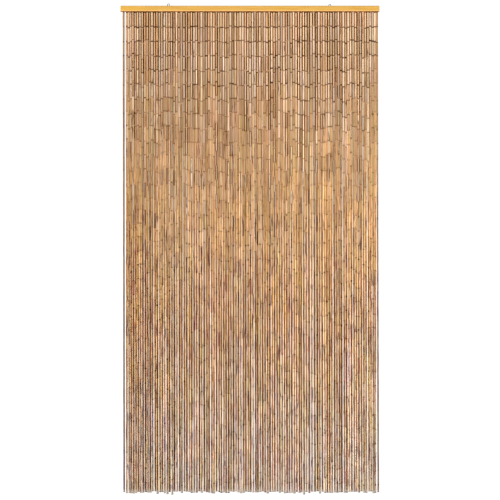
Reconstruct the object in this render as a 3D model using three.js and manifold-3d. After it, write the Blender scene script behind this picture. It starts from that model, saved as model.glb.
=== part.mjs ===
// Bamboo door curtain: a varnished wooden rail with two wire hanging loops in its top, and two staggered
// rows of bamboo strands that hang from its underside.
// Millimetres, +Z up. The curtain faces -Y. The origin is the centre of the rail's back face, which lies on
// the wall.
import * as THREE from "three";
import { mergeVertices } from "three/addons/utils/BufferGeometryUtils.js";
import Module from "manifold-3d";

// The rail.
const RAIL_LENGTH = 1200;
const RAIL_HEIGHT = 28;
const RAIL_DEPTH = 26;
const RAIL_FRONT_ROUND = 5;
const RAIL_BACK_ROUND = 1.5;
const RAIL_TOP = RAIL_HEIGHT / 2;
const RAIL_BOTTOM = -RAIL_HEIGHT / 2;
const RAIL_MIDDLE_Y = -RAIL_DEPTH / 2;

// The hanging loops: bent wire, both legs let into drilled holes in the rail's top.
const WIRE_DIAMETER = 3;
const LOOP_SPAN = 10;
const LOOP_LEG_IN_RAIL = 9;
const LEG_CLEARANCE = 0.35;
const LOOP_ARC_SIDES = 10;
const LOOP_STEPS = 26;
const DRILL_SIDES = 12;
const LOOPS = [
  { name: "loop_left", x: -377, spring: 4.2 },
  { name: "loop_right", x: 369.7, spring: 1.9 },
];

// The strands: every second one hangs in the front row, the others in the back row.
const STRANDS = 105;
const FIRST_STRAND_X = -589.4;
const STRAND_PITCH = 11.334;
const ROW_OFFSET = 6.5;
const DROP = 2255;
const END_SPREAD = 5.5;
const LONG_STRANDS = new Map([[1, 3], [2, 6], [3, 5], [18, 9], [20, 16], [74, 5], [103, 6]]);
const SWAY = 0.7;

// How far off even spacing the strands hang: strand number, at the rail, at the lower end.
const SLIPS = [
  [0, 4.1, 6.2], [1, 8.2, 8.0], [2, 4.6, 8.0], [3, 2.4, 6.4], [7, 0.0, 4.1], [20, -1.0, 2.4],
  [26, 0.2, 2.6], [32, 1.6, 4.3], [38, 2.5, 4.6], [44, 0.0, 3.4], [50, 0.9, 4.3], [62, -1.8, 2.3],
  [75, -2.2, 1.8], [79, 1.4, 7.4], [101, 1.9, 7.4], [103, 1.0, 3.3], [104, -0.9, 4.7],
];

// A strand tapers from the rail down, as the cane does that its tubes are cut from.
const TOP_DIAMETER = 12.6;
const LOW_DIAMETER = 11;
const DIAMETER_SPREAD = 0.3;
const NARROW_STRANDS = new Map([[0, 3], [1, 0.8], [76, -0.5], [77, -0.5], [78, -0.4], [103, -0.8], [104, 3]]);
const TAPER_START = 0.05;
const TAPER_END = 0.6;

// It is a chain of tubes that narrows to the wire at each joint between them.
const HANGER_LENGTH = 3;
const BEAD_PITCH = 66.9;
const FIRST_BEAD_EXTRA = 2;
const STRAND_BEAD_SPREAD = 1.2;
const BEAD_SPREAD = 4.6;
const JOINT_LENGTH = 4.4;
const JOINT_WIDTH = 3.6;
const SHOULDER_LENGTH = 0.6;
const NOTCHED_ROWS = 4;
const PLAIN_STRETCHES = 4;

// A strand's solid has four sides, a little narrower than the round tubes that they stand for.
const SQUARE_SHARE = 0.94;

// The strip that each row of strands is rooted in, against the rail's underside.
const STRIP_GAP = 0.3;
const STRIP_HEIGHT = 2;
const STRIP_WIDTH = 5;
const STRIP_LENGTH = 1192;

// What differs from strand to strand, numbered for the unevenness below.
const TRAIT = { sway: 1, end: 3, width: 4, beadPitch: 5, firstBead: 20 };

const wasm = await Module();
wasm.setup();

// A fixed unevenness from -1 to 1 for strand number i and trait number k.
function uneven(i, k) {
  const wave = Math.sin(i * 127.1 + k * 311.7) * 43758.5453;
  return (wave - Math.floor(wave)) * 2 - 1;
}

function smoothStep(from, to, value) {
  const t = Math.min(1, Math.max(0, (value - from) / (to - from)));
  return t * t * (3 - 2 * t);
}

// How far down a strand z is, from 0 at the rail to 1 at the strands' common end.
function depthAt(z) {
  return (RAIL_BOTTOM - z) / (DROP - RAIL_HEIGHT);
}

// A strand's slip off even spacing: column 1 is the slip at the rail, column 2 the one at the lower end.
function slipAt(i, column) {
  const next = Math.max(1, SLIPS.findIndex(([strand]) => strand >= i));
  const [from, to] = [SLIPS[next - 1], SLIPS[next]];
  const share = (i - from[0]) / (to[0] - from[0]);
  return from[column] + (to[column] - from[column]) * share;
}

// What one strand measures: where it hangs, how wide its tubes are, its joints and its lower end.
function strandFacts(i) {
  const pitch = BEAD_PITCH + uneven(i, TRAIT.beadPitch) * STRAND_BEAD_SPREAD;
  const joints = [];
  let z = RAIL_BOTTOM - HANGER_LENGTH / 2 - FIRST_BEAD_EXTRA;
  for (let row = 0; row < NOTCHED_ROWS; row++) {
    z -= pitch + uneven(i, TRAIT.firstBead + row) * BEAD_SPREAD;
    joints.push(z);
  }
  const even = FIRST_STRAND_X + i * STRAND_PITCH;
  return {
    topX: even + slipAt(i, 1),
    lowX: even + slipAt(i, 2) + uneven(i, TRAIT.sway) * SWAY,
    extraWidth: uneven(i, TRAIT.width) * DIAMETER_SPREAD - (NARROW_STRANDS.get(i) ?? 0),
    joints,
    end: RAIL_TOP - DROP + uneven(i, TRAIT.end) * END_SPREAD - (LONG_STRANDS.get(i) ?? 0),
  };
}

function sidewaysAt(facts, z) {
  return facts.topX + (facts.lowX - facts.topX) * depthAt(z);
}

function diameterAt(facts, z) {
  const taper = (TOP_DIAMETER - LOW_DIAMETER) * smoothStep(TAPER_START, TAPER_END, depthAt(z));
  return TOP_DIAMETER - taper + facts.extraWidth;
}

// A strand's solid: a four-sided chain, notched at its first joints and bent along its own line.
function strandGeometry(facts) {
  const root = RAIL_BOTTOM - STRIP_GAP - STRIP_HEIGHT * 1.5;
  const hangerEnd = RAIL_BOTTOM - HANGER_LENGTH;
  const neck = JOINT_WIDTH / 2 / Math.SQRT2;
  const corner = (z) => SQUARE_SHARE * diameterAt(facts, z) / Math.SQRT2;
  const profile = [[0, root + STRIP_HEIGHT / 2], [neck, root + STRIP_HEIGHT / 2]];
  const body = (z) => profile.push([corner(z), z]);
  profile.push([neck, hangerEnd]);
  body(hangerEnd - SHOULDER_LENGTH);
  for (const z of facts.joints) {
    body(z + JOINT_LENGTH / 2);
    profile.push([neck, z]);
    body(z - JOINT_LENGTH / 2);
  }
  const plainTop = profile.at(-1)[1];
  for (let stretch = 1; stretch <= PLAIN_STRETCHES; stretch++) {
    body(plainTop + (facts.end - plainTop) * stretch / PLAIN_STRETCHES);
  }
  profile.push([0, facts.end]);
  const points = profile.reverse().map(([radius, z]) => new THREE.Vector2(radius, z));
  const geometry = new THREE.LatheGeometry(points, 4, Math.PI / 4);
  geometry.rotateX(Math.PI / 2);
  const position = geometry.getAttribute("position");
  for (let n = 0; n < position.count; n++) {
    position.setX(n, position.getX(n) + sidewaysAt(facts, position.getZ(n)));
  }
  return geometry;
}

// A closed three.js geometry as a solid, and back.
function solidFrom(geometry) {
  const bare = geometry.index ? geometry.toNonIndexed() : geometry.clone();
  bare.deleteAttribute("normal");
  bare.deleteAttribute("uv");
  const merged = mergeVertices(bare, 1e-3);
  const mesh = new wasm.Mesh({
    numProp: 3,
    vertProperties: merged.attributes.position.array,
    triVerts: new Uint32Array(merged.index.array),
  });
  return new wasm.Manifold(mesh);
}

function geometryFrom(solid) {
  const { vertProperties, triVerts } = solid.getMesh();
  const geometry = new THREE.BufferGeometry();
  geometry.setAttribute("position", new THREE.BufferAttribute(vertProperties, 3));
  geometry.setIndex(new THREE.BufferAttribute(triVerts, 1));
  geometry.computeVertexNormals();
  return geometry;
}

// The rail's section, front to the left, with rounder front edges than back ones.
function railGeometry() {
  const front = -RAIL_DEPTH;
  const section = new THREE.Shape();
  section.moveTo(front + RAIL_FRONT_ROUND, RAIL_BOTTOM);
  section.lineTo(-RAIL_BACK_ROUND, RAIL_BOTTOM);
  section.lineTo(0, RAIL_BOTTOM + RAIL_BACK_ROUND);
  section.lineTo(0, RAIL_TOP - RAIL_BACK_ROUND);
  section.lineTo(-RAIL_BACK_ROUND, RAIL_TOP);
  section.lineTo(front + RAIL_FRONT_ROUND, RAIL_TOP);
  section.absarc(front + RAIL_FRONT_ROUND, RAIL_TOP - RAIL_FRONT_ROUND, RAIL_FRONT_ROUND,
    Math.PI / 2, Math.PI);
  section.absarc(front + RAIL_FRONT_ROUND, RAIL_BOTTOM + RAIL_FRONT_ROUND, RAIL_FRONT_ROUND,
    Math.PI, Math.PI * 1.5);
  const geometry = new THREE.ExtrudeGeometry(section, {
    depth: RAIL_LENGTH,
    bevelEnabled: false,
    curveSegments: 4,
  });
  // The section's x becomes Y, its y becomes Z, and the length runs along X.
  geometry.applyMatrix4(new THREE.Matrix4().makeBasis(
    new THREE.Vector3(0, 1, 0), new THREE.Vector3(0, 0, 1), new THREE.Vector3(1, 0, 0)));
  geometry.translate(-RAIL_LENGTH / 2, 0, 0);
  return geometry;
}

// One wire loop: up out of the rail, over in a half circle, and down into it again.
function loopGeometry(spring) {
  const reach = LOOP_SPAN / 2;
  const points = [new THREE.Vector3(-reach, 0, -LOOP_LEG_IN_RAIL)];
  for (let side = 0; side <= LOOP_ARC_SIDES; side++) {
    const angle = Math.PI * (1 - side / LOOP_ARC_SIDES);
    points.push(new THREE.Vector3(reach * Math.cos(angle), 0, spring + reach * Math.sin(angle)));
  }
  points.push(new THREE.Vector3(reach, 0, -LOOP_LEG_IN_RAIL));
  const path = new THREE.CurvePath();
  for (let n = 1; n < points.length; n++) {
    path.add(new THREE.LineCurve3(points[n - 1], points[n]));
  }
  const wire = new THREE.Shape();
  wire.absarc(0, 0, WIRE_DIAMETER / 2, 0, Math.PI * 2);
  return new THREE.ExtrudeGeometry(wire, { extrudePath: path, steps: LOOP_STEPS, curveSegments: 4 });
}

// The two drilled holes that a loop's legs stand in; each drill starts 1 mm above the rail.
function legHoles(loop) {
  const start = RAIL_TOP + 1;
  const foot = RAIL_TOP - LOOP_LEG_IN_RAIL - LEG_CLEARANCE;
  const radius = WIRE_DIAMETER / 2 + LEG_CLEARANCE;
  return [-1, 1].map((side) => {
    const drill = new THREE.CylinderGeometry(radius, radius, start - foot, DRILL_SIDES);
    drill.rotateX(Math.PI / 2);
    drill.translate(loop.x + side * LOOP_SPAN / 2, RAIL_MIDDLE_Y, (start + foot) / 2);
    return solidFrom(drill);
  });
}

// One row of strands on its strip; parity 0 is the front row and 1 the back row.
function rowSolid(parity) {
  const strip = new THREE.BoxGeometry(STRIP_LENGTH, STRIP_WIDTH, STRIP_HEIGHT);
  strip.translate(0, 0, RAIL_BOTTOM - STRIP_GAP - STRIP_HEIGHT / 2);
  let row = solidFrom(strip);
  for (let i = parity; i < STRANDS; i += 2) {
    row = row.add(solidFrom(strandGeometry(strandFacts(i))));
  }
  return row;
}

const varnish = new THREE.MeshStandardMaterial({ color: 0xdda54a, roughness: 0.42, metalness: 0 });
const bamboo = new THREE.MeshStandardMaterial({ color: 0xc29a6b, roughness: 0.6, metalness: 0 });
const steel = new THREE.MeshStandardMaterial({ color: 0x9a9894, roughness: 0.35, metalness: 1 });

function named(name, geometry, material) {
  const mesh = new THREE.Mesh(geometry, material);
  mesh.name = name;
  return mesh;
}

const curtain = new THREE.Group();

let rail = solidFrom(railGeometry());
for (const loop of LOOPS) {
  for (const hole of legHoles(loop)) {
    rail = rail.subtract(hole);
  }
}
curtain.add(named("rail", geometryFrom(rail), varnish));

for (const loop of LOOPS) {
  const mesh = named(loop.name, loopGeometry(loop.spring), steel);
  mesh.position.set(loop.x, RAIL_MIDDLE_Y, RAIL_TOP);
  curtain.add(mesh);
}

const rows = [["strands_front", -ROW_OFFSET], ["strands_back", ROW_OFFSET]];
rows.forEach(([name, offset], parity) => {
  const mesh = named(name, geometryFrom(rowSolid(parity)), bamboo);
  mesh.position.y = RAIL_MIDDLE_Y + offset;
  curtain.add(mesh);
});

export default curtain;
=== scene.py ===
# Bamboo door curtain: the rail and its wire loops as modelled, and the strands as chains of bamboo tubes
# linked by wire. Metres, +Z up, the curtain faces -Y.
import math

import bpy
import numpy as np
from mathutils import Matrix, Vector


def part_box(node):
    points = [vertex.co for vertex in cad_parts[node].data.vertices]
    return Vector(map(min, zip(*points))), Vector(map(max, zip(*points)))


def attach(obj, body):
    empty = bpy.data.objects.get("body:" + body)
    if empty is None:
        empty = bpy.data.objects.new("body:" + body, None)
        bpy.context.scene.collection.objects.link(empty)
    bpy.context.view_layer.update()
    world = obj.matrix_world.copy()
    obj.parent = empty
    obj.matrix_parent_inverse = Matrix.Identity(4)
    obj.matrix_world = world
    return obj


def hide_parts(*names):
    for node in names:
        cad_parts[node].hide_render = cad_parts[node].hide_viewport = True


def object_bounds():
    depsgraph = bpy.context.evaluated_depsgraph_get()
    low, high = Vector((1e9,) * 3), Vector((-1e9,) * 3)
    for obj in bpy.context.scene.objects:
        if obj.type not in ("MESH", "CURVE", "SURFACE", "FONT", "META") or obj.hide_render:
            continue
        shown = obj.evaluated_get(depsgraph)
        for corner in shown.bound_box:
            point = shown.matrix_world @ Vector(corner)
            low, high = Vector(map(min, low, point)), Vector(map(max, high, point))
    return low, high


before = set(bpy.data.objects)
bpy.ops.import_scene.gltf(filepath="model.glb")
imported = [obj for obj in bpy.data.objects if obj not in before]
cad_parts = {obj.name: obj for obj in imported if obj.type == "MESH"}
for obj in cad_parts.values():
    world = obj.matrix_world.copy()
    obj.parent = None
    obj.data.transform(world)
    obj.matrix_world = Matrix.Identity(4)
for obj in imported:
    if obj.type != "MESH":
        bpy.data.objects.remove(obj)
cad_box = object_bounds()

MM = 0.001

# The strands as they hang. Lengths are in millimetres, and strands are numbered from the left, from 0.
# DROP is from the rail's top to the strands' common end. A strand's first link is half of HANGER_LENGTH
# below the rail.
STRANDS = 105
FIRST_STRAND_X = -589.4
STRAND_PITCH = 11.334
ROW_OFFSET = 6.5
DROP = 2255
END_SPREAD = 5.5
HANGER_LENGTH = 3
SWAY = 0.7

# How much longer some strands hang, by strand number.
LONG_STRANDS = {1: 3, 2: 6, 3: 5, 18: 9, 20: 16, 74: 5, 103: 6}

# How far off even spacing the strands hang: strand number, at the rail, at the lower end.
SLIPS = (
    (0, 4.1, 6.2), (1, 8.2, 8.0), (2, 4.6, 8.0), (3, 2.4, 6.4), (7, 0.0, 4.1), (20, -1.0, 2.4),
    (26, 0.2, 2.6), (32, 1.6, 4.3), (38, 2.5, 4.6), (44, 0.0, 3.4), (50, 0.9, 4.3), (62, -1.8, 2.3),
    (75, -2.2, 1.8), (79, 1.4, 7.4), (101, 1.9, 7.4), (103, 1.0, 3.3), (104, -0.9, 4.7),
)
SLIP_STRANDS, SLIPS_AT_RAIL, SLIPS_AT_END = zip(*SLIPS)

# A strand's width, in millimetres. It tapers between two depths, given as shares of the strand.
TOP_DIAMETER = 12.6
LOW_DIAMETER = 11
DIAMETER_SPREAD = 0.3
TAPER_START = 0.05
TAPER_END = 0.6

# How much narrower some strands are, by strand number.
NARROW_STRANDS = {0: 3, 1: 0.8, 76: -0.8, 77: -1, 78: -0.9, 103: -0.8, 104: 3}

# The tubes' pitch down a strand, in millimetres.
BEAD_PITCH = 66.9
FIRST_BEAD_EXTRA = 2
STRAND_BEAD_SPREAD = 1.2
BEAD_SPREAD = 4.6

# Shares of the pitch: the shortest last tube, and the longest one that isn't made two.
SHORTEST_LAST = 0.45
LONGEST_LAST = 1.3

# What differs from strand to strand, numbered for the function uneven, and the numbers of its wave.
TRAIT = {"sway": 1, "end": 3, "width": 4, "bead_pitch": 5, "first_bead": 20}
WAVE_PER_STRAND = 127.1
WAVE_PER_TRAIT = 311.7
WAVE_HEIGHT = 43758.5453

# The tubes, in millimetres. TUBE_START is how far below the rail a strand's first tube starts. Shares
# are of a tube's length or of its radius.
TUBE_SIDES = 10
TUBE_START = 0.6
TUBE_GAP = 0.08
BORE_SHARE = 0.63
BORE_SETBACK = 0.2
RIM_INSET = 0.4
CORNER_LENGTH = 0.35
CORNER_INSET = 0.12
SHOULDER_LENGTH = 1.1
WAIST_PLACE = 0.34
WAIST_WIDTH = 0.985
WIDTH_CHANCE = 0.02
TUBE_WOBBLE = 0.2
TUBE_BOW = 0.35
PIECES_PER_ROW = 3

# The wire links, in millimetres.
LINK_RADIUS = 1.9
LINK_WIRE = 0.55
LINK_SIDES = 6
LINK_WIRE_SIDES = 3

# From one strand to the next, hue, tone and dirt rise by these steps and wrap round at 1, with a chance
# part added. The dirt value also sets how wide and dark the painted shade on a tube's flanks is.
HUE_STEP = 0.755
TONE_STEP = 0.618
DIRT_AND_SHADE_STEP = 0.414
STEP_CHANCE = 0.25
CHANCE_SEED = 7

# How far a tube's hue, tone and dirt value, which also sets its painted flank shade, may be from its
# strand's, near the rail and lower down.
DIRT_AND_SHADE_SPREAD = (0.26, 0.24)
HUE_SPREAD = (0.35, 0.24)
TONE_SPREAD = (0.32, 0.32)
SPREAD_CHANGE = (0.15, 0.35)

# How much the two outermost strands take on a skin colour of their own. The last strands start from no
# dirt, which also gives their flanks the least painted shade.
OUTER_STRANDS = {0: 1.0, 104: 0.8}
LOW_DIRT_AND_SHADE_FROM = 101

# The bamboo's colours, as sRGB of 0 to 255. A list goes by depth, from 0 at the rail to 1 at the end.
# A tube's middle faces forward, its sides face the neighbours, and the edge lies between. Middle, edge
# and side colours paint light and shade by which way the skin faces: near the rail a painted sheen on
# the middle and painted shade on the edges and sides, where the tubes meet; lower down pale painted
# highlights on the sides.
MIDDLE_SKIN_AND_SHEEN = (
    (0.0, (227, 187, 145)),
    (0.05, (228, 192, 156)),
    (0.1, (232, 204, 173)),
    (0.18, (224, 196, 169)),
    (0.26, (188, 153, 117)),
    (0.34, (170, 134, 93)),
    (0.42, (168, 129, 84)),
    (0.52, (155, 112, 63)),
    (0.62, (133, 88, 43)),
    (0.75, (116, 80, 44)),
    (0.9, (112, 84, 60)),
    (1.0, (114, 94, 76)),
)
EDGE_SHADING_SKIN = (
    (0.0, (162, 94, 4)),
    (0.12, (164, 108, 40)),
    (0.2, (180, 136, 82)),
    (0.28, (188, 148, 100)),
    (0.45, (196, 155, 99)),
    (0.62, (193, 150, 99)),
    (0.8, (190, 154, 118)),
    (1.0, (188, 162, 137)),
)
FLANK_SHADE_AND_HIGHLIGHT_SKIN = (
    (0.0, (34, 8, 0)),
    (0.07, (38, 10, 0)),
    (0.13, (120, 92, 66)),
    (0.19, (180, 153, 126)),
    (0.26, (194, 162, 128)),
    (0.34, (220, 188, 152)),
    (0.42, (236, 205, 165)),
    (0.52, (252, 219, 172)),
    (0.62, (254, 220, 175)),
    (0.75, (255, 227, 189)),
    (0.9, (255, 231, 200)),
    (1.0, (250, 231, 210)),
)
OUTER_SKIN = ((0.0, (184, 142, 98)), (1.0, (118, 90, 76)))
STREAK = ((0.3, (84, 40, 20)), (0.6, (78, 22, 30)), (0.9, (66, 50, 58)))
DARK_END = ((0.1, (58, 18, 0)), (0.4, (40, 12, 0)))
BLACK_SKIN = (44, 12, 12)
RED_SKIN = (142, 64, 54)
BLOTCH = (132, 62, 48)
SPECK = (66, 28, 12)
WARM_END = (164, 96, 36)
PALE_END = (226, 190, 150)
BLEACHED_TIP = (200, 194, 186)

# Noise scales, in waves a metre along X, Y and Z. Most of a noise's values lie within the span.
FIBRE_SCALE = (900, 900, 14)
LINE_SCALE = (260, 260, 2.5)
CLOUD_SCALE = (90, 90, 6)
WARM_SCALE = (210, 210, 2.2)
YELLOW_SCALE = (45, 45, 4)
BLOTCH_SCALE = (120, 120, 11)
STREAK_SCALE = (220, 220, 13)
SPECK_SCALE = (260, 260, 55)
WIRE_SCALE = (700, 700, 700)
GRAIN_SCALE = (9, 240, 240)
VARNISH_CLOUD_SCALE = (16, 60, 60)
NOISE_SPAN = (0.3, 0.7)

# Offsets that make one noise differ from another, and how far apart a tube's hue sets its own.
WARM_OFFSET = 3.7
YELLOW_OFFSET = 11.3
DRIFT = 40.0

# How light the fine lines along a tube are, by their noise, at half strength.
LINE_LEVELS = ((0.26, 0.2), (0.38, 0.4), (0.5, 0.48), (0.62, 0.57), (0.74, 0.7))
LINE_STRENGTH = 2.0

# What the skin's lightness is multiplied by, at the least and the most of a tube's value, a noise or X.
TONE_LEVELS = (0.86, 1.2)
SIDE_TONE_LEVELS = (0.9, 1.12)
CLOUD_LEVELS = (0.86, 1.14)
FIBRE_LEVELS = (0.86, 1.12)
# Along X a painted light: the skin is painted darker at the left and lighter towards the right.
PAINTED_LIGHT_LEFT_TO_RIGHT = (0.93, 1.05)

# The same for its red, green or blue alone.
WARM_RED = (0.88, 1.12)
WARM_BLUE = (1.04, 0.96)
HUE_RED = (0.94, 1.06)
HUE_BLUE = (1.08, 0.92)
CHANCE_GREEN = (0.955, 1.04)

# Which tubes have a mark, by their chance value: where it fades in or out.
BLACK_TUBES_OUT = (0.05, 0.07)
RED_TUBES_IN = (0.07, 0.08)
RED_TUBES_OUT = (0.1, 0.11)
PALE_ENDS_IN = (0.12, 0.16)
PALE_ENDS_OUT = (0.44, 0.48)
DARK_ENDS_IN = (0.56, 0.74)

# How far from a tube's end a mark begins to fade and is gone, in millimetres. Dark ends differ by tube.
WARM_END_REACH = (1.5, 5.0)
PALE_END_REACH = (1.6, 4.0)
DARK_END_FULL = 1.4
DARK_END_REACH = (2.4, 5.6)

# The strands' tips are bleached, which fades out between these heights, in millimetres above their
# common end.
TIP_LOW = -4
TIP_HIGH = 18

# The wires' and the varnish's colours by their noise, and the varnish's other colours: a cloud, the left
# end, a painted shade where the rail faces up and on its underside, and a painted highlight along its
# lower edge.
LINK_COLOURS = ((0.3, (74, 50, 34)), (0.7, (104, 78, 58)))
LOOP_COLOURS = ((0.3, (104, 100, 96)), (0.7, (148, 145, 140)))
VARNISH = ((0.28, (206, 151, 48)), (0.5, (220, 168, 66)), (0.74, (228, 180, 84)))
VARNISH_CLOUD = (228, 180, 64)
VARNISH_LEFT_END = (228, 174, 40)
VARNISH_TOP_SHADE = (156, 114, 34)
VARNISH_LOWER_EDGE_HIGHLIGHT = (255, 203, 122)
VARNISH_UNDERSIDE_SHADE = (238, 152, 26)

# Where the rail's left end loses its own colour and the painted highlight along its lower edge fades, in
# metres from the middle and above the underside.
LEFT_END_FADE = (-0.56, -0.42)
LOWER_EDGE_HIGHLIGHT_FADE = (0.0055, 0.0085)

# The rail, from its solid.
rail_low, rail_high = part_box("rail")
RAIL_TOP = rail_high.z / MM
RAIL_BOTTOM = rail_low.z / MM
RAIL_MIDDLE_Y = (rail_low.y + rail_high.y) / 2 / MM
RAIL_LENGTH = (rail_high.x - rail_low.x) / MM


def uneven(strand, trait):
    """A fixed unevenness from -1 to 1 for a strand's number and a trait's number."""
    wave = math.sin(strand * WAVE_PER_STRAND + trait * WAVE_PER_TRAIT) * WAVE_HEIGHT
    return (wave - math.floor(wave)) * 2 - 1


def smooth_step(start, end, value):
    t = min(1.0, max(0.0, (value - start) / (end - start)))
    return t * t * (3 - 2 * t)


def depth_at(z):
    """How far down a strand z is, from 0 at the rail to 1 at the strands' common end."""
    return (RAIL_BOTTOM - z) / (DROP - (RAIL_TOP - RAIL_BOTTOM))


class Strand:
    """One chain of tubes: where it hangs, how wide it is and where its joints are."""

    def __init__(self, number):
        self.number = number
        even = FIRST_STRAND_X + number * STRAND_PITCH
        sway = uneven(number, TRAIT["sway"]) * SWAY
        self.top_x = even + np.interp(number, SLIP_STRANDS, SLIPS_AT_RAIL)
        self.low_x = even + np.interp(number, SLIP_STRANDS, SLIPS_AT_END) + sway
        self.y = RAIL_MIDDLE_Y + (-ROW_OFFSET if number % 2 == 0 else ROW_OFFSET)
        wider = uneven(number, TRAIT["width"]) * DIAMETER_SPREAD
        self.extra_width = wider - NARROW_STRANDS.get(number, 0)
        long_by = LONG_STRANDS.get(number, 0)
        self.end = RAIL_TOP - DROP + uneven(number, TRAIT["end"]) * END_SPREAD - long_by
        self.joints = self.joint_heights()

    def joint_heights(self):
        """The middle of each joint from the hanger down, and the strand's end as the last."""
        pitch = BEAD_PITCH + uneven(self.number, TRAIT["bead_pitch"]) * STRAND_BEAD_SPREAD
        heights = [RAIL_BOTTOM - HANGER_LENGTH / 2]
        row = 0
        while True:
            z = heights[-1] - pitch - uneven(self.number, TRAIT["first_bead"] + row) * BEAD_SPREAD
            if row == 0:
                z -= FIRST_BEAD_EXTRA
            if z - self.end < SHORTEST_LAST * pitch:
                break
            heights.append(z)
            row += 1
        if heights[-1] - self.end > LONGEST_LAST * pitch:
            heights.append((heights[-1] + self.end) / 2)
        heights.append(self.end)
        return heights

    def sideways_at(self, z):
        return self.top_x + (self.low_x - self.top_x) * depth_at(z)

    def diameter_at(self, z):
        taper = (TOP_DIAMETER - LOW_DIAMETER) * smooth_step(TAPER_START, TAPER_END, depth_at(z))
        return TOP_DIAMETER - taper + self.extra_width


class MeshParts:
    """Collects closed rings of points into one mesh, with a few numbers kept for each part."""

    def __init__(self):
        self.points = []
        self.faces = []
        self.tints = []
        self.wear_and_shade = []
        self.count = 0

    def add_loops(self, loops, tint, wear_and_shade):
        """Joins each loop of the (n, sides, 3) points to the next, and the last to the first."""
        n, sides, _ = loops.shape
        start = self.count
        self.points.append(loops.reshape(-1, 3))
        first = np.arange(n)[:, None] * sides
        side = np.arange(sides)[None, :]
        after = (side + 1) % sides
        below = (first + sides) % (n * sides)
        quads = np.stack([first + side, first + after, below + after, below + side], axis=-1)
        self.faces.append(quads.reshape(-1, 4) + start)
        self.tints.append(np.tile(tint, (n * sides, 1)))
        self.wear_and_shade.append(np.repeat(wear_and_shade, sides, axis=0))
        self.count += n * sides

    def to_object(self, name):
        mesh = bpy.data.meshes.new(name)
        points = np.concatenate(self.points) * MM
        faces = np.concatenate(self.faces)
        mesh.vertices.add(len(points))
        mesh.vertices.foreach_set("co", points.astype(np.float32).ravel())
        mesh.loops.add(faces.size)
        mesh.loops.foreach_set("vertex_index", faces.astype(np.int32).ravel())
        mesh.polygons.add(len(faces))
        mesh.polygons.foreach_set("loop_start", np.arange(0, faces.size, 4, dtype=np.int32))
        mesh.update(calc_edges=True)
        tint = mesh.attributes.new("tube", "FLOAT_COLOR", "POINT")
        tint.data.foreach_set("color", np.concatenate(self.tints).astype(np.float32).ravel())
        wear_and_shade = mesh.attributes.new("wear_and_shade", "FLOAT_VECTOR", "POINT")
        wear_and_shade.data.foreach_set("vector", np.concatenate(self.wear_and_shade).astype(np.float32).ravel())
        mesh.polygons.foreach_set("use_smooth", np.ones(len(faces), dtype=bool))
        made = bpy.data.objects.new(name, mesh)
        bpy.context.scene.collection.objects.link(made)
        return made


def near(value, spreads, depth, rng):
    """A chance value from 0 to 1 that is near the given one, with the spread of that depth."""
    spread = spreads[0] + (spreads[1] - spreads[0]) * smooth_step(*SPREAD_CHANGE, depth)
    return min(1.0, max(0.0, value + rng.uniform(-spread, spread)))


def frame_along(start, end):
    """Two unit directions square to the line from start to end."""
    axis = (end - start) / np.linalg.norm(end - start)
    side = np.cross(np.array([0.0, 1.0, 0.0]), axis)
    side /= np.linalg.norm(side)
    return side, np.cross(axis, side)


def tube_profile(length, radius):
    """How far down the tube and how wide its loops are, from the bore's upper end to its lower end."""
    half = [
        (BORE_SETBACK, radius * BORE_SHARE),
        (0.0, radius - RIM_INSET),
        (CORNER_LENGTH, radius - CORNER_INSET),
        (SHOULDER_LENGTH, radius),
        (length * WAIST_PLACE, radius * WAIST_WIDTH),
    ]
    return half + [(length - down, width) for down, width in reversed(half)]


def add_tube(parts, start, end, radius, bow, turn, tint, dirt, outer):
    """A bored bamboo tube from start down to end, its ends rounded in to the bore and slightly bowed."""
    length = np.linalg.norm(end - start)
    profile = tube_profile(length, radius)
    side, front = frame_along(start, end)
    angles = np.arange(TUBE_SIDES) / TUBE_SIDES * 2 * math.pi + turn
    across = np.cos(angles)[:, None] * side + np.sin(angles)[:, None] * front
    bow_way = math.cos(turn) * side + math.sin(turn) * front
    loops = []
    for down, width in profile:
        # The bow is 0 at both ends of the tube and full halfway.
        share = down / length
        middle = start + (end - start) * share + bow_way * bow * 4 * share * (1 - share)
        loops.append(middle + across * width)
    from_end = [min(down, length - down) for down, _ in profile]
    wear_and_shade = np.array([(reach, dirt, outer) for reach in from_end])
    parts.add_loops(np.array(loops), tint, wear_and_shade)


def add_link(parts, middle, turn):
    """A wire ring that joins two tubes, standing upright."""
    across = np.array([math.cos(turn), math.sin(turn), 0.0])
    up = np.array([0.0, 0.0, 1.0])
    normal = np.cross(up, across)
    section = np.arange(LINK_WIRE_SIDES) / LINK_WIRE_SIDES * 2 * math.pi
    loops = []
    for step in range(LINK_SIDES):
        angle = step / LINK_SIDES * 2 * math.pi
        outward = math.cos(angle) * across + math.sin(angle) * up
        wire = np.cos(section)[:, None] * outward + np.sin(section)[:, None] * normal
        loops.append(middle + outward * LINK_RADIUS + wire * LINK_WIRE)
    parts.add_loops(np.array(loops), np.zeros(4), np.zeros((LINK_SIDES, 3)))


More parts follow.
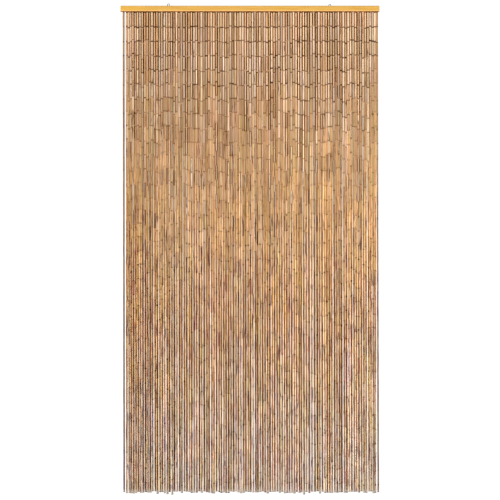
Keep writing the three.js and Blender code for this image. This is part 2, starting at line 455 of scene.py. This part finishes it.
def build_strand(tubes, links, strand, rng):
    """Adds one strand's tubes and links."""
    joints = []
    for z in strand.joints:
        wobble = rng.uniform(-TUBE_WOBBLE, TUBE_WOBBLE, 2)
        joints.append(np.array([strand.sideways_at(z) + wobble[0], strand.y + wobble[1], z]))
    outer = OUTER_STRANDS.get(strand.number, 0.0)
    steps = np.array([HUE_STEP, TONE_STEP, DIRT_AND_SHADE_STEP]) * strand.number
    strand_hue, strand_tone, strand_dirt = (steps + rng.uniform(0, STEP_CHANCE, 3)) % 1
    if strand.number >= LOW_DIRT_AND_SHADE_FROM:
        strand_dirt = 0.0
    for n, (upper, lower) in enumerate(zip(joints, joints[1:])):
        last = n == len(joints) - 2
        down = (lower - upper) / np.linalg.norm(lower - upper)
        start = upper + down * (TUBE_START - HANGER_LENGTH / 2 if n == 0 else TUBE_GAP / 2)
        end = lower if last else lower - down * TUBE_GAP / 2
        middle_z = (start[2] + end[2]) / 2
        radius = strand.diameter_at(middle_z) / 2 * (1 + rng.uniform(-WIDTH_CHANCE, WIDTH_CHANCE))
        depth = min(1.0, depth_at(middle_z))
        hue = near(strand_hue, HUE_SPREAD, depth, rng)
        tone = near(strand_tone, TONE_SPREAD, depth, rng)
        dirt = near(strand_dirt, DIRT_AND_SHADE_SPREAD, depth, rng)
        tint = np.array([hue, tone, rng.random(), depth])
        bow = rng.uniform(0, TUBE_BOW)
        add_tube(tubes, start, end, radius, bow, rng.uniform(0, 2 * math.pi), tint, dirt, outer)
        add_link(links, upper, rng.uniform(0, math.pi))


def linear(colour):
    """An sRGB colour of 0 to 255 as linear numbers, by the sRGB standard's curve."""
    shares = [value / 255 for value in colour]
    return tuple(((c + 0.055) / 1.055) ** 2.4 if c > 0.04045 else c / 12.92 for c in shares)


class Nodes:
    """Short forms for building a material's node tree. A value is a number or a node's output."""

    def __init__(self, name):
        self.material = bpy.data.materials.new(name)
        self.material.use_nodes = True
        self.tree = self.material.node_tree
        self.shader = self.tree.nodes["Principled BSDF"]

    def add(self, kind, inputs=None, **settings):
        node = self.tree.nodes.new(kind)
        for key, value in settings.items():
            setattr(node, key, value)
        for key, value in (inputs or {}).items():
            self.feed(node, key, value)
        return node

    def feed(self, node, key, value):
        if isinstance(value, bpy.types.NodeSocket):
            self.tree.links.new(value, node.inputs[key])
        else:
            node.inputs[key].default_value = value

    def place(self, axis):
        """Where a point is along one axis of the object."""
        coordinates = self.add("ShaderNodeTexCoord").outputs["Object"]
        return self.add("ShaderNodeSeparateXYZ", {"Vector": coordinates}).outputs[axis]

    def facing(self, axis):
        """How far the surface faces along one axis of the object."""
        normal = self.add("ShaderNodeTexCoord").outputs["Normal"]
        return self.add("ShaderNodeSeparateXYZ", {"Vector": normal}).outputs[axis]

    def noise(self, scale, detail, roughness=0.5, offset=None):
        coordinates = self.add("ShaderNodeTexCoord").outputs["Object"]
        scaled = self.add("ShaderNodeMapping", {"Vector": coordinates, "Scale": scale}).outputs["Vector"]
        inputs = {"Vector": scaled, "Scale": 1.0, "Detail": detail, "Roughness": roughness}
        node = self.add("ShaderNodeTexNoise", inputs, noise_dimensions="4D" if offset else "3D")
        if offset:
            self.feed(node, "W", offset)
        return node.outputs["Fac"]

    def maths(self, operation, a, b=0.0):
        return self.add("ShaderNodeMath", {0: a, 1: b}, operation=operation).outputs[0]

    def times(self, first, *others):
        """The product of some values."""
        product = first
        for other in others:
            product = self.maths("MULTIPLY", product, other)
        return product

    def slope(self, value, low, high, to_low=0.0, to_high=1.0, kind="LINEAR"):
        """Goes straight from to_low at low to to_high at high, and is level beyond them."""
        inputs = {"Value": value, "From Min": low, "From Max": high, "To Min": to_low, "To Max": to_high}
        return self.add("ShaderNodeMapRange", inputs, interpolation_type=kind).outputs["Result"]

    def grade(self, value, low, high, to_low=0.0, to_high=1.0):
        """The same as a slope, with a soft start and end."""
        return self.slope(value, low, high, to_low, to_high, "SMOOTHSTEP")

    def ramp(self, value, stops):
        """A colour for each value, from pairs of a value and an sRGB colour."""
        return self.ramp_of(value, [(place, linear(colour)) for place, colour in stops])

    def grey_ramp(self, value, stops):
        """A grey for each value, from pairs of a value and a linear level."""
        return self.ramp_of(value, [(place, (level, level, level)) for place, level in stops])

    def ramp_of(self, value, stops):
        node = self.add("ShaderNodeValToRGB", {"Fac": value})
        elements = node.color_ramp.elements
        while len(elements) < len(stops):
            elements.new(0.5)
        for element, (place, colour) in zip(elements, stops):
            element.position = place
            element.color = (*colour, 1.0)
        return node.outputs["Color"]

    def colour(self, red, green, blue):
        return self.add("ShaderNodeCombineColor", {0: red, 1: green, 2: blue}).outputs[0]

    def mix(self, factor, a, b, blend="MIX"):
        """Mixes two colours, each a node's output or three linear numbers."""
        node = self.add("ShaderNodeMix", data_type="RGBA", blend_type=blend)
        self.feed(node, 0, factor)
        for index, value in ((6, a), (7, b)):
            self.feed(node, index, value if isinstance(value, bpy.types.NodeSocket) else (*value, 1.0))
        return node.outputs[2]

    def multiply(self, a, b):
        """The product of two colours."""
        return self.mix(1.0, a, b, "MULTIPLY")

    def paint(self, factor, base, colour):
        """Covers the base with an sRGB colour as far as the factor says."""
        return self.mix(factor, base, linear(colour))

    def mix_number(self, factor, a, b):
        return self.add("ShaderNodeMix", {0: factor, 2: a, 3: b}, data_type="FLOAT").outputs[0]

    def bump(self, height, strength, distance):
        inputs = {"Height": height, "Strength": strength, "Distance": distance}
        return self.add("ShaderNodeBump", inputs).outputs["Normal"]


class TubeValues:
    """What the mesh says at a point of a tube. Hue, tone, chance, depth, dirt and outer are from 0 to 1
    and the same all over the tube. Dirt also sets how much painted shade the tube's flanks get. From_end
    is how far its nearer end is, in millimetres."""

    def __init__(self, nodes):
        tube = nodes.add("ShaderNodeAttribute", attribute_name="tube", attribute_type="GEOMETRY")
        split = nodes.add("ShaderNodeSeparateColor", {"Color": tube.outputs["Color"]})
        self.hue, self.tone, self.chance = split.outputs
        self.depth = tube.outputs["Alpha"]
        wear_and_shade = nodes.add("ShaderNodeAttribute", attribute_name="wear_and_shade", attribute_type="GEOMETRY")
        split = nodes.add("ShaderNodeSeparateXYZ", {"Vector": wear_and_shade.outputs["Vector"]})
        self.from_end, self.dirt, self.outer = split.outputs
        self.drift = nodes.maths("MULTIPLY", self.hue, DRIFT)


def weathering_and_shade_depth(nodes, tube):
    """The depth by which a tube's skin colours and painted shading are looked up. Tubes with a higher
    dirt value change over lower down than others.
    """
    weather_and_shade = nodes.maths("ADD", tube.depth, nodes.slope(tube.dirt, 0.0, 1.0, 0.14, -0.14))
    return nodes.maths("ADD", weather_and_shade, nodes.grade(tube.dirt, 0.75, 0.95, 0.0, -0.09))


def flank_shading_share(nodes, tube, weather_and_shade):
    """0 where a tube faces forward and up to 1 where it faces a neighbour: where the painted shade and
    painted highlight on its flanks lie.
    """
    sideways = nodes.maths("ABSOLUTE", nodes.facing("X"))
    start_above = nodes.slope(tube.dirt, 0.0, 1.0, 0.58, 0.28)
    start_below = nodes.slope(tube.dirt, 0.0, 1.0, 0.26, 0.46)
    start = nodes.slope(weather_and_shade, 0.1, 0.4, start_above, start_below)
    most_above = nodes.grade(tube.dirt, 0.0, 0.5, 0.84, 1.0)
    most = nodes.mix_number(nodes.grade(weather_and_shade, 0.1, 0.3), most_above, 0.9)
    return nodes.slope(sideways, start, nodes.maths("ADD", start, 0.35), 0.0, most)


def middle_skin_and_sheen(nodes, tube, weather_and_shade):
    """Pale near the rail, partly as painted sheen, and dark lower down, where tubes with less dirt are
    lighter and those with more darker. A few tubes are nearly black there."""
    level_below = nodes.grade(tube.dirt, 0.0, 1.0, 1.6, 0.32)
    level = nodes.mix_number(nodes.grade(weather_and_shade, 0.2, 0.5), 1.0, level_below)
    red = nodes.maths("POWER", level, 0.85)
    blue = nodes.maths("POWER", level, 1.25)
    skin = nodes.multiply(nodes.ramp(weather_and_shade, MIDDLE_SKIN_AND_SHEEN), nodes.colour(red, level, blue))
    black = nodes.grade(tube.chance, *BLACK_TUBES_OUT, 0.9, 0.0)
    return nodes.paint(nodes.times(black, nodes.grade(tube.depth, 0.1, 0.5)), skin, BLACK_SKIN)


def flank_shade_and_highlight(nodes, tube, weather_and_shade):
    """Painted shade near the rail, where the tubes meet, and pale painted highlights lower down."""
    level = nodes.slope(tube.tone, 0.0, 1.0, *SIDE_TONE_LEVELS)
    return nodes.multiply(nodes.ramp(weather_and_shade, FLANK_SHADE_AND_HIGHLIGHT_SKIN), nodes.colour(level, level, level))


def skin_with_painted_shading(nodes, tube, weather_and_shade, side):
    """The skin round a tube, with light and shade painted by which way it faces: middle, edge and sides,
    or the outermost strands' own colour.
    """
    skin = middle_skin_and_sheen(nodes, tube, weather_and_shade)
    skin = nodes.mix(nodes.slope(side, 0.0, 0.5), skin, nodes.ramp(weather_and_shade, EDGE_SHADING_SKIN))
    skin = nodes.mix(nodes.slope(side, 0.5, 1.0), skin, flank_shade_and_highlight(nodes, tube, weather_and_shade))
    return nodes.mix(tube.outer, skin, nodes.ramp(tube.depth, OUTER_SKIN))


def hue_tint(nodes, tube):
    """Tints the skin: warm or cool by tube and along it, more or less green by tube, and more or less
    yellow in broad clouds."""
    warm = nodes.noise(WARM_SCALE, detail=2.0, roughness=0.6, offset=WARM_OFFSET)
    yellow = nodes.noise(YELLOW_SCALE, detail=3.0, roughness=0.6, offset=YELLOW_OFFSET)
    red = nodes.times(
        nodes.slope(warm, *NOISE_SPAN, *WARM_RED),
        nodes.slope(tube.hue, 0.0, 1.0, *HUE_RED),
    )
    green = nodes.slope(tube.chance, 0.0, 1.0, *CHANCE_GREEN)
    yellow_shift = nodes.times(
        nodes.slope(yellow, *NOISE_SPAN, -1.0, 1.0),
        nodes.grade(tube.depth, 0.4, 0.6, 0.18, 0.34),
    )
    blue = nodes.times(
        nodes.maths("SUBTRACT", nodes.slope(warm, *NOISE_SPAN, *WARM_BLUE), yellow_shift),
        nodes.slope(tube.hue, 0.0, 1.0, *HUE_BLUE),
    )
    strength = nodes.grade(tube.depth, 0.1, 0.7, 0.8, 1.0)
    return nodes.mix(strength, (1.0, 1.0, 1.0), nodes.colour(red, green, blue))


def light_tint(nodes, tube, fibre):
    """Makes the skin lighter or darker: by tube, by fine lines, clouds and fibres, and with a painted
    light that grows from left to right."""
    line = nodes.grey_ramp(nodes.noise(LINE_SCALE, detail=2.0), LINE_LEVELS)
    cloud = nodes.noise(CLOUD_SCALE, detail=2.0, roughness=0.6, offset=tube.drift)
    rail_end = RAIL_LENGTH * MM / 2
    level = nodes.times(
        nodes.slope(tube.tone, 0.0, 1.0, *TONE_LEVELS),
        nodes.times(line, LINE_STRENGTH),
        nodes.slope(cloud, *NOISE_SPAN, *CLOUD_LEVELS),
        nodes.grade(fibre, *NOISE_SPAN, *FIBRE_LEVELS),
        # Painted light: darker at the left, lighter towards the right.
        nodes.slope(nodes.place("X"), -rail_end, rail_end, *PAINTED_LIGHT_LEFT_TO_RIGHT),
    )
    contrast_above = nodes.grade(tube.depth, 0.1, 0.25, 1.15, 1.2)
    contrast = nodes.mix_number(nodes.grade(tube.depth, 0.33, 0.5), contrast_above, 1.05)
    level = nodes.maths("POWER", level, contrast)
    red = nodes.maths("POWER", level, 0.88)
    blue = nodes.maths("POWER", level, 1.15)
    return nodes.colour(red, level, blue)


def bleached_tips(nodes, base):
    low = (RAIL_TOP - DROP + TIP_LOW) * MM
    high = (RAIL_TOP - DROP + TIP_HIGH) * MM
    return nodes.paint(nodes.slope(nodes.place("Z"), low, high, 0.95, 0.0), base, BLEACHED_TIP)


def red_tubes(nodes, tube, base):
    """A few tubes are red-brown, most clearly some two thirds of the way down."""
    chosen = nodes.times(
        nodes.grade(tube.chance, *RED_TUBES_OUT, 0.38, 0.0),
        nodes.grade(tube.chance, *RED_TUBES_IN),
    )
    at_depth = nodes.times(
        nodes.grade(tube.depth, 0.3, 0.6),
        nodes.grade(tube.depth, 0.7, 0.9, 1.0, 0.4),
    )
    return nodes.paint(nodes.times(chosen, at_depth), base, RED_SKIN)


def stain(nodes, base, noise, limit, softness, strength, colour):
    """Covers the base with a linear colour where the noise is over its limit."""
    cover = nodes.slope(noise, limit, nodes.maths("ADD", limit, softness), 0.0, strength)
    return nodes.mix(cover, base, colour)


def blotches(nodes, tube, base):
    """Broad red-brown stains, more of them lower down."""
    noise = nodes.noise(BLOTCH_SCALE, detail=2.0, offset=tube.drift)
    limit = nodes.grade(tube.depth, 0.3, 0.6, 0.76, 0.6)
    return stain(nodes, base, noise, limit, softness=0.06, strength=0.7, colour=linear(BLOTCH))


def streaks(nodes, tube, base):
    """Long dark stains, more of them lower down."""
    noise = nodes.noise(STREAK_SCALE, detail=2.0)
    limit = nodes.grade(tube.depth, 0.1, 0.6, 0.66, 0.57)
    colour = nodes.ramp(tube.depth, STREAK)
    return stain(nodes, base, noise, limit, softness=0.05, strength=0.88, colour=colour)


def specks(nodes, tube, base):
    """Small dark stains, more of them lower down."""
    noise = nodes.noise(SPECK_SCALE, detail=1.0, offset=tube.drift)
    limit = nodes.grade(tube.depth, 0.1, 0.5, 0.76, 0.7)
    return stain(nodes, base, noise, limit, softness=0.04, strength=0.9, colour=linear(SPECK))


def dark_end_share(nodes, tube, side):
    """How dark a tube is near its ends: all tubes near the rail, and some lower down."""
    all_ends = nodes.times(
        nodes.grade(tube.depth, 0.05, 0.13, 0.75, 0.4),
        nodes.grade(tube.depth, 0.2, 0.4, 1.0, 0.2),
    )
    some_above = nodes.grade(tube.depth, 0.12, 0.28, 0.95, 0.5)
    some_ends = nodes.mix_number(nodes.grade(tube.depth, 0.33, 0.5), some_above, 0.92)
    choice = nodes.maths("ADD", tube.chance, nodes.slope(tube.dirt, 0.0, 1.0, -0.16, 0.12))
    some_ends = nodes.times(some_ends, nodes.grade(choice, *DARK_ENDS_IN))
    on_sides = nodes.grade(side, 0.1, 0.7, 1.0, 0.3)
    breadth = nodes.mix_number(nodes.grade(tube.depth, 0.2, 0.4), 1.0, on_sides)
    strength = nodes.times(nodes.maths("MAXIMUM", all_ends, some_ends), breadth)
    reach = nodes.slope(tube.chance, 0.0, 1.0, *DARK_END_REACH)
    return nodes.slope(tube.from_end, DARK_END_FULL, reach, strength, 0.0)


def pale_end_share(nodes, tube):
    """How pale a tube is near its ends: some tubes, more strongly near the rail."""
    strength = nodes.times(
        nodes.grade(tube.chance, *PALE_ENDS_IN),
        nodes.grade(tube.chance, *PALE_ENDS_OUT, 1.0, 0.0),
        nodes.grade(tube.depth, 0.2, 0.45, 0.6, 0.1),
    )
    return nodes.slope(tube.from_end, *PALE_END_REACH, strength, 0.0)


def bamboo_material():
    nodes = Nodes("bamboo")
    tube = TubeValues(nodes)
    fibre = nodes.noise(FIBRE_SCALE, detail=4.0, roughness=0.62)
    weather_and_shade = weathering_and_shade_depth(nodes, tube)
    # The share of the painted flank shade and highlight round each tube.
    side = flank_shading_share(nodes, tube, weather_and_shade)
    base = skin_with_painted_shading(nodes, tube, weather_and_shade, side)
    tint = nodes.multiply(hue_tint(nodes, tube), light_tint(nodes, tube, fibre))
    base = nodes.multiply(base, tint)
    base = bleached_tips(nodes, base)
    base = blotches(nodes, tube, base)
    base = red_tubes(nodes, tube, base)
    base = streaks(nodes, tube, base)
    base = specks(nodes, tube, base)
    base = nodes.paint(nodes.slope(tube.from_end, *WARM_END_REACH, 0.3, 0.0), base, WARM_END)
    dark_end = dark_end_share(nodes, tube, side)
    base = nodes.mix(dark_end, base, nodes.ramp(tube.depth, DARK_END))
    base = nodes.paint(pale_end_share(nodes, tube), base, PALE_END)
    dull = nodes.maths("MAXIMUM", side, dark_end)

    nodes.feed(nodes.shader, "Base Color", base)
    nodes.feed(nodes.shader, "Roughness", nodes.grade(fibre, *NOISE_SPAN, 0.42, 0.56))
    nodes.feed(nodes.shader, "Normal", nodes.bump(fibre, strength=0.3, distance=0.0004))
    nodes.feed(nodes.shader, "Specular IOR Level", nodes.grade(dull, 0.0, 0.6, 0.18, 0.0))
    return nodes.material


def wire_material(name, colours):
    nodes = Nodes(name)
    mottle = nodes.noise(WIRE_SCALE, detail=3.0)
    nodes.feed(nodes.shader, "Base Color", nodes.ramp(mottle, colours))
    nodes.shader.inputs["Metallic"].default_value = 1.0
    nodes.feed(nodes.shader, "Roughness", nodes.grade(mottle, *NOISE_SPAN, 0.28, 0.48))
    return nodes.material


def varnish_material():
    nodes = Nodes("rail_varnish")
    grain = nodes.noise(GRAIN_SCALE, detail=5.0, roughness=0.6)
    cloud = nodes.noise(VARNISH_CLOUD_SCALE, detail=2.0)
    upward = nodes.facing("Z")
    left_end = nodes.grade(nodes.place("X"), *LEFT_END_FADE, 0.5, 0.0)
    edge_low, edge_high = (rail_low.z + height for height in LOWER_EDGE_HIGHLIGHT_FADE)
    lower_edge_highlight = nodes.grade(nodes.place("Z"), edge_low, edge_high, 0.9, 0.0)
    colour = nodes.ramp(grain, VARNISH)
    colour = nodes.paint(nodes.grade(cloud, 0.35, 0.68, 0.0, 0.35), colour, VARNISH_CLOUD)
    colour = nodes.paint(left_end, colour, VARNISH_LEFT_END)
    # Painted shade where the rail faces up.
    colour = nodes.paint(nodes.grade(upward, 0.1, 0.6, 0.0, 0.9), colour, VARNISH_TOP_SHADE)
    # A painted highlight along the rail's lower edge.
    colour = nodes.paint(lower_edge_highlight, colour, VARNISH_LOWER_EDGE_HIGHLIGHT)
    # Painted shade where the rail faces down.
    colour = nodes.paint(nodes.grade(upward, -0.6, -0.15, 0.9, 0.0), colour, VARNISH_UNDERSIDE_SHADE)
    nodes.feed(nodes.shader, "Base Color", colour)
    nodes.feed(nodes.shader, "Roughness", nodes.grade(grain, *NOISE_SPAN, 0.34, 0.46))
    nodes.feed(nodes.shader, "Normal", nodes.bump(grain, strength=0.2, distance=0.0003))
    nodes.shader.inputs["Coat Weight"].default_value = 0.25
    nodes.shader.inputs["Coat Roughness"].default_value = 0.2
    return nodes.material


def build_curtain():
    bamboo = bamboo_material()
    wire = wire_material("wire", LINK_COLOURS)
    rng = np.random.default_rng(CHANCE_SEED)
    for parity, row in enumerate(("front", "back")):
        strands = [Strand(number) for number in range(parity, STRANDS, 2)]
        links = MeshParts()
        made = []
        for share, some in enumerate(np.array_split(np.arange(len(strands)), PIECES_PER_ROW)):
            tubes = MeshParts()
            for n in some:
                build_strand(tubes, links, strands[n], rng)
            made.append((tubes.to_object(f"tubes_{row}_{share + 1}"), bamboo, "bamboo"))
        made.append((links.to_object(f"links_{row}"), wire, "wire"))
        for piece, material, slot in made:
            piece.data.materials.append(material)
            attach(piece, "root")
            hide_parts(f"strands_{row}")


def dress_frame():
    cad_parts["rail"].data.materials.clear()
    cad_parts["rail"].data.materials.append(varnish_material())
    loop_wire = wire_material("loop_wire", LOOP_COLOURS)
    for name in ("loop_left", "loop_right"):
        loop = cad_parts[name]
        loop.data.materials.clear()
        loop.data.materials.append(loop_wire)
        loop.data.polygons.foreach_set("use_smooth", [True] * len(loop.data.polygons))


# The photograph's frame: 500 pixels wide, with the rail's ends and top where they are in it.
FRAME_PIXELS = 500
RAIL_LEFT_PIXEL = 120.42
RAIL_RIGHT_PIXEL = 379.56
RAIL_TOP_PIXEL = 5.58
CAMERA_DISTANCE = 16.0
CAMERA_REACH = 100
SENSOR_WIDTH = 36.0


def make_camera():
    pixel = RAIL_LENGTH * MM / (RAIL_RIGHT_PIXEL - RAIL_LEFT_PIXEL)
    centre_x = (FRAME_PIXELS / 2 - (RAIL_LEFT_PIXEL + RAIL_RIGHT_PIXEL) / 2) * pixel
    centre_z = rail_high.z - (FRAME_PIXELS / 2 - RAIL_TOP_PIXEL) * pixel
    data = bpy.data.cameras.new("camera")
    data.sensor_width = SENSOR_WIDTH
    data.lens = SENSOR_WIDTH * CAMERA_DISTANCE / (FRAME_PIXELS * pixel)
    data.clip_end = CAMERA_REACH
    camera = bpy.data.objects.new("camera", data)
    camera.location = (centre_x, rail_low.y - CAMERA_DISTANCE, centre_z)
    camera.rotation_euler = (math.radians(90), 0, 0)
    bpy.context.scene.collection.objects.link(camera)
    bpy.context.scene.camera = camera


# Suns: name, energy, and in degrees how soft, how high and how far round from straight ahead. Then
# whether it casts shadows.
LIGHTS = (
    ("key", 2.3, 10, 28, -8, True),
    ("side_left", 1.4, 20, 15, -68, False),
    ("side_right", 1.25, 20, 15, 68, False),
)
SUN_COLOUR = (1.0, 0.97, 0.93)

# The sky lights the curtain, and the backdrop is what the camera sees of it.
SKY_COLOUR = (1.0, 0.985, 0.965, 1.0)
SKY_LEVEL = 0.2
WHITE = (1.0, 1.0, 1.0, 1.0)
BACKDROP_LEVEL = 1.1

# The floor glows, to look nearly as pale as the backdrop, and throws no light on the curtain.
FLOOR_CLEARANCE = 0.035
FLOOR_RADIUS = 1.6
FLOOR_SIDES = 96
FLOOR_COLOUR = (0.3, 0.3, 0.3, 1.0)
FLOOR_ROUGHNESS = 0.9
FLOOR_GLOW = 0.92


def make_sky():
    world = bpy.data.worlds.new("studio")
    bpy.context.scene.world = world
    world.use_nodes = True
    tree = world.node_tree
    sky = tree.nodes["Background"]
    sky.inputs["Color"].default_value = SKY_COLOUR
    sky.inputs["Strength"].default_value = SKY_LEVEL
    backdrop = tree.nodes.new("ShaderNodeBackground")
    backdrop.inputs["Color"].default_value = WHITE
    backdrop.inputs["Strength"].default_value = BACKDROP_LEVEL
    ray = tree.nodes.new("ShaderNodeLightPath")
    mix = tree.nodes.new("ShaderNodeMixShader")
    tree.links.new(ray.outputs["Is Camera Ray"], mix.inputs[0])
    tree.links.new(sky.outputs[0], mix.inputs[1])
    tree.links.new(backdrop.outputs[0], mix.inputs[2])
    tree.links.new(mix.outputs[0], tree.nodes["World Output"].inputs["Surface"])


def make_suns():
    for name, energy, softness, above, around, shadow in LIGHTS:
        light = bpy.data.lights.new(name, "SUN")
        light.energy = energy
        light.angle = math.radians(softness)
        light.color = SUN_COLOUR
        light.use_shadow = shadow
        lamp = bpy.data.objects.new(name, light)
        lamp.rotation_euler = (math.radians(90 - above), 0, math.radians(around))
        bpy.context.scene.collection.objects.link(lamp)


def floor_material():
    material = bpy.data.materials.new("pale_floor")
    material.use_nodes = True
    shader = material.node_tree.nodes["Principled BSDF"]
    shader.inputs["Base Color"].default_value = FLOOR_COLOUR
    shader.inputs["Roughness"].default_value = FLOOR_ROUGHNESS
    shader.inputs["Emission Color"].default_value = WHITE
    shader.inputs["Emission Strength"].default_value = FLOOR_GLOW
    return material


def make_floor():
    mesh = bpy.data.meshes.new("floor")
    angles = [side / FLOOR_SIDES * 2 * math.pi for side in range(FLOOR_SIDES)]
    rim = [(math.cos(angle) * FLOOR_RADIUS, math.sin(angle) * FLOOR_RADIUS, 0) for angle in angles]
    mesh.from_pydata(rim, [], [tuple(range(FLOOR_SIDES))])
    mesh.materials.append(floor_material())
    floor = bpy.data.objects.new("floor", mesh)
    floor.location.z = cad_box[0].z - FLOOR_CLEARANCE
    floor.visible_diffuse = False
    bpy.context.scene.collection.objects.link(floor)


def make_studio():
    bpy.context.scene.view_settings.view_transform = "Standard"
    make_sky()
    make_suns()
    make_floor()


make_camera()
build_curtain()
dress_frame()
make_studio()
